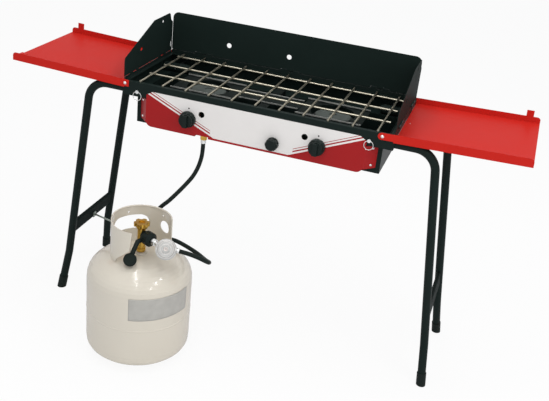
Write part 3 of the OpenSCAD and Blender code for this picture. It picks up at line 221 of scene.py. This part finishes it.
def smooth_run(points, steps):
    """A smooth curve through the points, as closely spaced points."""
    run = []
    for i in range(len(points) - 1):
        a, b = points[max(i - 1, 0)], points[i]
        c, d = points[i + 1], points[min(i + 2, len(points) - 1)]
        for k in range(steps):
            t = k / steps
            run.append(0.5 * (2 * b + t * (c - a)
                              + t * t * (2 * a - 5 * b + 4 * c - d)
                              + t ** 3 * (3 * b - a - 3 * c + d)))
    return run + [points[-1]]


def once_round(sides):
    """Evenly spaced angles, once round."""
    return [2 * math.pi * k / sides for k in range(sides)]


def skin_between(bm, one, other, closed=True, smooth=True):
    """A strip of faces between two rows of vertices, which may be rings."""
    for k in range(len(one) if closed else len(one) - 1):
        j = (k + 1) % len(one)
        bm.faces.new((one[k], one[j], other[j], other[k])).smooth = smooth


def stand_in_scene(name, bm):
    """Turns finished mesh code into an object of the scene."""
    mesh = bpy.data.meshes.new(name)
    bm.to_mesh(mesh)
    bm.free()
    obj = bpy.data.objects.new(name, mesh)
    bpy.context.scene.collection.objects.link(obj)
    return obj


def tube(name, run, radius, sides):
    """A round tube along a run of points, closed at both ends."""
    bm = bmesh.new()
    side = Vector((1, 0, 0))
    rings = []
    for i, p in enumerate(run):
        way = (run[min(i + 1, len(run) - 1)] - run[max(i - 1, 0)]).normalized()
        if abs(way.dot(side)) > NEARLY_ALONG:
            side = Vector((0, 0, 1))
        side = (side - side.dot(way) * way).normalized()
        over = way.cross(side)
        rings.append([bm.verts.new(p + radius * (math.cos(a) * side + math.sin(a) * over))
                      for a in once_round(sides)])
    for low, high in zip(rings, rings[1:]):
        skin_between(bm, low, high)
    bm.faces.new(rings[0][::-1])
    bm.faces.new(rings[-1])
    return stand_in_scene(name, bm)


def new_material(name):
    """A material, and the node tree that its finish is built in."""
    material = bpy.data.materials.new(name)
    material.use_nodes = True
    return material, material.node_tree


def place_on(tree):
    """Where a point lies on the object, so that a pattern stays fixed to it."""
    return add_node(tree, "TexCoord").outputs["Object"]


def grain(tree, scale, **values):
    """A cloudy or grainy pattern."""
    return add_node(tree, "TexNoise", Vector=place_on(tree), Scale=scale,
                    **values).outputs["Fac"]


def shade(colour, share):
    """The colour made darker or brighter, up to white."""
    return tuple(min(1, c * share) for c in colour)


def tone(share, one, other):
    """A colour between two, each of them plain or a tone itself."""
    node = add_node(share.id_data, "Mix")
    node.data_type = "RGBA"
    plug(node.inputs["Factor"], share)
    for name, colour in (("A", one), ("B", other)):
        plug(node.inputs[name], (*colour, 1) if isinstance(colour, tuple) else colour)
    return node.outputs["Result"]


def spread(value, **ends):
    """A pattern's values, stretched to other ends."""
    return add_node(value.id_data, "MapRange", Value=value, **ends).outputs["Result"]


def dents(height, strength, depth, **over):
    """Raises and sinks the skin by a pattern, over softened edges if given."""
    return add_node(height.id_data, "Bump", Height=height, Strength=strength,
                    Distance=depth, **over).outputs["Normal"]


def lay_on(tree, **layers):
    """Gives the shader its colour, shine and dents."""
    fill(tree.nodes["Principled BSDF"], **layers)


def moulded(name, colour, shine, fineness, depth, mottle=0.2, gloss_level=0.1):
    """Rubber or plastic from a mould: a fine grain and a slightly uneven shine."""
    material, tree = new_material(name)
    broad = grain(tree, scale=38, Detail=5)
    fine = grain(tree, scale=fineness, Detail=4)
    lay_on(tree, Specular_IOR_Level=gloss_level,
           Base_Color=tone(broad, shade(colour, 1 - mottle), shade(colour, 1 + mottle)),
           Roughness=spread(broad, To_Min=shine - 0.08, To_Max=shine + 0.1),
           Normal=dents(fine, strength=0.5, depth=depth))
    return material


hose_run = smooth_run([at(*p) for p in HOSE_ROUTE], HOSE_STEPS)
hose = tube("hose", hose_run, HOSE_WIDTH / 2, HOSE_SIDES)
rubber = moulded("black rubber", (0.010, 0.0155, 0.0135), shine=0.45, fineness=900,
                 depth=0.00025)
hose.data.materials.append(rubber)
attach(hose, "stove")
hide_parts("gas_hose")

# ---------------------------------------------------- tub, legs and sockets
# The tub is folded and welded sheet; the legs are bent steel tube in welded
# sockets. All have a black powder coat, baked on, which is duller on the braces.
EDGE_ROUNDING = 0.0009


def dress(material, *names):
    """Gives solids of the frame their finish."""
    for n in names:
        mesh = nodes[n].data
        mesh.materials.clear()
        mesh.materials.append(material)


def soft_edges(tree, radius):
    """Rounds the edges as a coat of paint does."""
    node = add_node(tree, "Bevel", Radius=radius)
    node.samples = 4
    return node.outputs["Normal"]


def powder_coat(name, colour, tint, shine, gloss_level=0.06, peel=520,
                peel_depth=0.0002, cloudiness=9):
    """Baked powder: an orange-peel skin, faint dust, and softened edges."""
    material, tree = new_material(name)
    cloud = grain(tree, scale=cloudiness, Detail=6, Roughness=0.6)
    pebbles = grain(tree, scale=peel, Detail=2)
    lay_on(tree, Specular_IOR_Level=gloss_level,
           Base_Color=tone(cloud, colour, tint),
           Roughness=spread(cloud, To_Min=shine - 0.05, To_Max=shine + 0.09),
           Normal=dents(pebbles, strength=0.35, depth=peel_depth,
                        Normal=soft_edges(tree, EDGE_ROUNDING)))
    return material


black_coat = powder_coat("black coat", (0.008, 0.014, 0.0125), (0.012, 0.020, 0.018),
                         shine=0.34)
dress(black_coat, "stove_body", "leg_sockets", "leg_front_left", "leg_back_left",
      "leg_front_right", "leg_back_right")
dress(powder_coat("worn black coat", (0.007, 0.012, 0.0105), (0.009, 0.015, 0.0135),
                  shine=0.55, gloss_level=0.03),
      "leg_braces")

# ---------------------------------------------------------------- drip tray
# A shallow tray of galvanised sheet in the bottom of the burner box, with air
# slots. Grease and heat have dulled its zinc.
FLAKE_SHARE = 0.35              # how much the spangle adds to the clouding


def plated(name, colour, rough, spangle=60, variety=0.2):
    """Bare plated metal: a soft spangle in tone and shine, faint scratches."""
    material, tree = new_material(name)
    flakes = add_node(tree, "TexVoronoi", Vector=place_on(tree), Scale=spangle)
    cloud = grain(tree, scale=24, Detail=6)
    scratches = grain(tree, scale=700, Detail=3)
    patches = sums("MULTIPLY_ADD", flakes.outputs["Distance"], FLAKE_SHARE, cloud)
    dull, bright = shade(colour, 1 - variety), shade(colour, 1 + variety * 0.6)
    lay_on(tree, Metallic=1, Base_Color=tone(patches, dull, bright),
           Roughness=spread(cloud, To_Min=rough - 0.08, To_Max=rough + 0.12),
           Normal=dents(scratches, strength=0.2, depth=0.00008))
    return material


dress(plated("dulled galvanised", (0.10, 0.115, 0.11), rough=0.5), "drip_tray")

# ------------------------------------------------------------------ burners
# Two cast heads with loose caps, each on a coated rail across the box. The
# castings are bare iron, and the caps' faces are ground a little brighter.


def castings(name, colour):
    """Sand-cast iron: a coarse grain that carries tone and height."""
    material, tree = new_material(name)
    sand = grain(tree, scale=420, Detail=8, Roughness=0.7)
    dark, bright = shade(colour, 0.6), shade(colour, 1.5)
    lay_on(tree, Metallic=0.35, Specular_IOR_Level=0.25, Roughness=0.7,
           Base_Color=tone(sand, dark, bright),
           Normal=dents(sand, strength=0.7, depth=0.0005))
    return material


dress(castings("cast iron", (0.022, 0.025, 0.024)), "burner_left", "burner_right")
dress(castings("ground iron", (0.085, 0.098, 0.09)),
      "burner_cap_left", "burner_cap_right")
zinc = plated("zinc", (0.80, 0.81, 0.80), rough=0.3, variety=0.12)
dress(zinc, "burner_bolts", "air_shutters")
dress(black_coat, "burner_rails")

# ---------------------------------------------------- baffles and the shield
# Folded plates round each burner and between them. The flat faces are black for
# soot and as painted shade of the dark box, and the folded-up edges show bright sheet.
SOOT_AND_SHADE_HEIGHT = 0.019             # above the straps' feet, just over the flat faces
SOOT_AND_SHADE_FADE = (0.0028, 0.0042)    # from there on, where black turns to bright
SOOT_AND_SHADE_RAGGED = 0.003             # how far its line runs up and down


def along(tree, axis):
    """How far along one of the object's axes a point lies."""
    return add_node(tree, "SeparateXYZ", Vector=place_on(tree)).outputs[axis]


def soot_and_painted_shade(name, level):
    """Sheet that is black up to a height, as soot and painted shade, and bright above it.
    """
    material, tree = new_material(name)
    soot_and_shade_grain = grain(tree, scale=60, Detail=6)
    # painted shade: below this ragged line the flat faces are black, for the shade in the
    # box as well as soot
    height = sums("MULTIPLY_ADD", soot_and_shade_grain, SOOT_AND_SHADE_RAGGED, along(tree, "Z"))
    bare = spread(height, From_Min=level + SOOT_AND_SHADE_FADE[0], From_Max=level + SOOT_AND_SHADE_FADE[1])
    lay_on(tree, Metallic=bare, Specular_IOR_Level=0.06, Roughness=0.6,
           Base_Color=tone(bare, (0.012, 0.016, 0.015), (0.62, 0.63, 0.60)),
           Normal=dents(soot_and_shade_grain, strength=0.3, depth=0.0002))
    return material


# the baffles and the shield get black painted shade on their flat faces, bright bare
# sheet on their edges
dress(soot_and_painted_shade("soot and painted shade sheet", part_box("baffle_left")[0][2] + SOOT_AND_SHADE_HEIGHT),
      "baffle_left", "baffle_right", "igniter_shield")

# ------------------------------------------------------------ control panel
# Folded sheet in light grey enamel, printed with a red wedge and two stripes
# at each end and a red line along the bottom. Dots mark where a knob is off.
PANEL_FOOT = 0.6595             # height of the red line's upper edge
WEDGE_START = 0.118             # where a wedge starts, out from the middle
WEDGE_RUN = 0.222               # how far it runs, to the panel's end
WEDGE_RISE = 0.098              # and how much it rises on the way
STRIPES = ((0.006, 0.0105), (0.0155, 0.0175))       # their edges above the wedge
STRIPE_SETBACK = 0.012          # they start this much further out
FOLD_ROUNDING = 0.001
DOT_OUT, DOT_UP = 202, 738      # mm, as all that goes through at()
DOT_BACK, DOT_FACE = -1.16, -1.32
DOT_RADIUS = 0.0024
DOT_SIDES = 24


def panel_print():
    """The enamel and its print: stripes that follow a wedge to each end."""
    material, tree = new_material("panel print")
    up = along(tree, "Z")
    out = sums("ABSOLUTE", along(tree, "X"))
    run = sums("MAXIMUM", sums("SUBTRACT", out, WEDGE_START), 0.0)
    rise = sums("MULTIPLY", sums("DIVIDE", run, WEDGE_RUN), WEDGE_RISE)
    top = sums("ADD", rise, PANEL_FOOT)
    ink = sums("LESS_THAN", up, top)
    for low, high in STRIPES:
        above = sums("GREATER_THAN", up, sums("ADD", top, low))
        below = sums("LESS_THAN", up, sums("ADD", top, high))
        stripe = sums("MULTIPLY", sums("MULTIPLY", above, below),
                      sums("GREATER_THAN", out, WEDGE_START + STRIPE_SETBACK))
        ink = sums("MAXIMUM", ink, stripe)
    cloud = grain(tree, scale=14)
    grey = tone(cloud, (0.80, 0.775, 0.75), (0.85, 0.825, 0.80))
    lay_on(tree, Specular_IOR_Level=0.15, Coat_Weight=0.05, Coat_Roughness=0.15,
           Base_Color=tone(ink, grey, (0.36, 0.0095, 0.011)),
           Roughness=spread(cloud, To_Min=0.3, To_Max=0.45),
           Normal=soft_edges(tree, FOLD_ROUNDING))
    return material


dress(panel_print(), "control_panel")
dress(zinc, "panel_screws")
ink_black = moulded("black ink", (0.02, 0.022, 0.022), shine=0.5, fineness=600,
                    depth=0.00005)
for side, name in ((-1, "off_dot_left"), (1, "off_dot_right")):
    ends = [at(side * DOT_OUT, y, DOT_UP) for y in (DOT_BACK, DOT_FACE)]
    spot = tube(name, ends, DOT_RADIUS, DOT_SIDES)
    spot.data.materials.append(ink_black)
    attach(spot, "stove")

# ----------------------------------------------------------------- gas train
# Brass valves on a coated steel manifold behind the panel, and a brass swivel
# nut at the inlet. The igniter is a moulded clicker with red leads to two
# electrodes in white ceramic.
dress(black_coat, "gas_manifold")
brass = plated("brass", (0.62, 0.385, 0.075), rough=0.28, spangle=40)
dress(brass, "valve_left", "valve_right", "valve_stem_left", "valve_stem_right",
      "inlet_fitting")
black_plastic = moulded("black plastic", (0.008, 0.0135, 0.012), shine=0.34,
                        fineness=1400, depth=0.00012, gloss_level=0.14)
dress(black_plastic, "igniter_module")
dress(moulded("glazed ceramic", (0.78, 0.77, 0.71), shine=0.18, fineness=200,
              depth=0.00005, mottle=0.06, gloss_level=0.5),
      "electrodes")
dress(moulded("red lead", (0.42, 0.03, 0.02), shine=0.4, fineness=500, depth=0.0001),
      "igniter_leads")

# --------------------------------------------------------------------- knobs
# Moulded knobs: a stepped round skirt, a crown and a raised grip. They push
# onto the valves' stems; the igniter's knob has deep flutes.
dress(black_plastic, "knob_left", "knob_right", "igniter_knob")

# --------------------------------------------------------------------- grate
# Fourteen round wires, welded where they cross and nickel plated. The long
# wires' ends rest on the rim, and heat has left the plating a little warm.
dress(plated("nickel plate", (0.50, 0.465, 0.37), rough=0.36, spangle=12, variety=0.1),
      "grate")

# ---------------------------------------------------------------- windscreen
# Three plates of black sheet on pin hinges that stand on the rim. A folded lip
# with a rolled edge stands on the back strip, just clear of the hinge, as a dark
# sheet of painted shade in the slit under the back plate.
KNUCKLE_RADIUS = 0.003
STRIP_SHEET = 0.0012
STRIP_BEHIND_PIN = 0.009        # from the hinge's pin to the strip's back edge
LIP_BEHIND_PIN, LIP_BELOW_PIN = 0.0043, 0.0040
LIP_SHEET, LIP_FOOT, LIP_ROLL = 0.0007, 0.0043, 0.0008
LIP_ROLL_ARC = range(-60, 181, 30)      # degrees
LIP_END_GAP = 0.0005            # from the lip's ends to the side hinges


def shade_lip(name):
    """The lip's outline, drawn across the hinge and swept along it."""
    strip_low, strip_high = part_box("screen_strips")
    base = strip_low[2] + STRIP_SHEET
    top = strip_high[2] - KNUCKLE_RADIUS - LIP_BELOW_PIN
    front = strip_high[1] - STRIP_BEHIND_PIN + LIP_BEHIND_PIN
    roll_y, roll_z = front + LIP_ROLL, top - LIP_ROLL
    outline = [(front, base), (front + LIP_FOOT, base),
               (front + LIP_FOOT, base + LIP_SHEET),
               (front + LIP_SHEET, base + LIP_SHEET)]
    outline += [(roll_y + LIP_ROLL * math.cos(a), roll_z + LIP_ROLL * math.sin(a))
                for a in map(math.radians, LIP_ROLL_ARC)]
    half = strip_high[0] - 2 * KNUCKLE_RADIUS - LIP_END_GAP
    bm = bmesh.new()
    left, right = ([bm.verts.new((x, y, z)) for y, z in outline] for x in (-half, half))
    skin_between(bm, left, right, smooth=False)
    bm.faces.new(left[::-1])
    bm.faces.new(right)
    bmesh.ops.recalc_face_normals(bm, faces=bm.faces)
    return stand_in_scene(name, bm)


dress(black_coat, "screen_strips")
dress(powder_coat("plate coat", (0.0100, 0.0175, 0.0155), (0.014, 0.0235, 0.021),
                  shine=0.52, gloss_level=0.03),
      "screen_back", "screen_left", "screen_right")
dress(plated("blackened steel", (0.16, 0.18, 0.17), rough=0.4), "screen_pins")
# painted shade: a black lip that darkens the slit under the back plate, where white would
# show through
lip = shade_lip("shade_lip")
lip.data.materials.append(black_coat)
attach(lip, "stove")

# ------------------------------------------------------------------- shelves
# Two folded steel trays in red powder coat, each turning on a pair of bolts
# through the rim's skirt, with their nuts behind it.
dress(powder_coat("red coat", (0.545, 0.018, 0.0125), (0.60, 0.025, 0.0175),
                  shine=0.42, gloss_level=0.04),
      "shelf_left", "shelf_right")
dress(zinc, "shelf_bolts")

# ------------------------------------------------------ leg tips, hook, pins
# Rubber tips pushed on the legs, a plated hook under the left brace, and four
# plated lock pins with split rings that hold the legs in their sockets.
dress(rubber, "leg_tips")
dress(zinc, "pin_front_left", "pin_back_left", "pin_front_right", "pin_back_right")
dress(plated("dull zinc", (0.34, 0.39, 0.35), rough=0.38), "brace_hook")

# -------------------------------------------------------------- gas cylinder
# A welded steel shell with its foot ring and collar, all in off-white enamel,
# with a brass valve and handwheel. A blank foil patch is stuck on its side.
CYLINDER_X, CYLINDER_Y, CYLINDER_RADIUS = -247, -203, 158
PATCH_TURN = (-76, -4)          # degrees round the cylinder
PATCH_HEIGHT = (193, 266)
PATCH_GLUE, PATCH_SHEET = 0.1, 0.25
PATCH_COLUMNS, PATCH_ROWS = 48, 12


def between(ends, count):
    """Evenly spaced values from one end to the other."""
    return [ends[0] + (ends[1] - ends[0]) * i / count for i in range(count + 1)]


def foil_patch(name):
    """A thin sheet wrapped on the cylinder, with its glue under it."""
    bm = bmesh.new()
    turns = [math.radians(a) for a in between(PATCH_TURN, PATCH_COLUMNS)]
    skins = []
    for proud in (PATCH_GLUE, PATCH_GLUE + PATCH_SHEET):
        r = CYLINDER_RADIUS + proud
        skins.append([[bm.verts.new(at(CYLINDER_X + r * math.cos(a),
                                       CYLINDER_Y + r * math.sin(a), z))
                       for a in turns]
                      for z in between(PATCH_HEIGHT, PATCH_ROWS)])
    inner, outer = skins
    for j in range(PATCH_ROWS):
        skin_between(bm, outer[j], outer[j + 1], closed=False)
        skin_between(bm, inner[j + 1], inner[j], closed=False)
    in_first, in_last, out_first, out_last = (
        [row[end] for row in skin] for skin in skins for end in (0, -1))
    for one, other in ((inner[0], outer[0]), (outer[-1], inner[-1]),
                       (out_first, in_first), (in_last, out_last)):
        skin_between(bm, one, other, closed=False, smooth=False)
    return stand_in_scene(name, bm)


dress(powder_coat("off-white enamel", (0.655, 0.605, 0.51), (0.71, 0.665, 0.57),
                  shine=0.13, gloss_level=0.5, peel=240, peel_depth=0.00002,
                  cloudiness=5),
      "tank_shell", "foot_ring", "collar")
dress(brass, "tank_valve", "handwheel")
patch = foil_patch("foil_patch")
patch.data.materials.append(moulded("grey foil", (0.45, 0.44, 0.405), shine=0.4,
                                    fineness=500, depth=0.00006, mottle=0.16,
                                    gloss_level=0.4))
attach(patch, "stove")

# ----------------------------------------------------------------- regulator
# A die-cast regulator on a plated nipple, with a black coupling nut, a rubber
# dust cap on its strap, and crimped ferrules on the hose. Three pressed rings
# and the vent's cap sit on its face.
OUTLET_TURN, FACE_LEAN, FACE_TURN = (math.radians(a) for a in (-26, 57, -72))
REACH, LEVEL = 114, 396         # of its middle, from the cylinder's axis and foot
FACE_RINGS = (("face_ring_outer", 26.6, 6.3, 0.9), ("face_ring_middle", 22.0, 10.2, 0.9),
              ("face_ring_inner", 14.5, 12.0, 1.1))     # radius, height, thickness
VENT_OUTLINE = [(1.2, 14.2), (6.6, 14.2), (6.6, 16.4), (5.8, 17.6),
                (4.2, 17.9), (3.4, 16.9), (1.2, 16.9)]


def turned_ring(name, outline, sides=64):
    """A ring turned round the regulator's axis from a closed outline, in mm."""
    spin = Matrix.Rotation(FACE_TURN, 3, "Z") @ Matrix.Rotation(FACE_LEAN, 3, "Y")
    middle = at(CYLINDER_X + REACH * math.cos(OUTLET_TURN),
                CYLINDER_Y + REACH * math.sin(OUTLET_TURN), LEVEL)
    bm = bmesh.new()
    rings = []
    for a in once_round(sides):
        places = (Vector((r * math.cos(a), r * math.sin(a), h)) for r, h in outline)
        rings.append([bm.verts.new(middle + spin @ p / 1000) for p in places])
    for k in range(sides):
        skin_between(bm, rings[k - 1], rings[k])
    bmesh.ops.recalc_face_normals(bm, faces=bm.faces)
    return stand_in_scene(name, bm)


def bead(radius, height, size, sides=16):
    """The round outline of a ring that lies on the face."""
    return [(radius + size * math.cos(a), height + size * math.sin(a))
            for a in once_round(sides)]


dress(plated("die-cast metal", (0.50, 0.50, 0.49), rough=0.5, spangle=90, variety=0.1),
      "regulator")
pale_metal = plated("pale metal", (0.72, 0.70, 0.68), rough=0.42, spangle=90,
                    variety=0.08)
for name, radius, height, size in FACE_RINGS:
    ring = turned_ring(name, bead(radius, height, size))
    ring.data.materials.append(pale_metal)
    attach(ring, "stove")
vent = turned_ring("vent_cap", VENT_OUTLINE)
vent.data.materials.append(moulded("pale plastic", (0.72, 0.66, 0.62), shine=0.3,
                                   fineness=500, depth=0.00005, mottle=0.05,
                                   gloss_level=0.4))
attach(vent, "stove")
dress(zinc, "inlet_nipple", "hose_ferrules")
dress(black_plastic, "coupling_nut")
dress(rubber, "dust_cap")
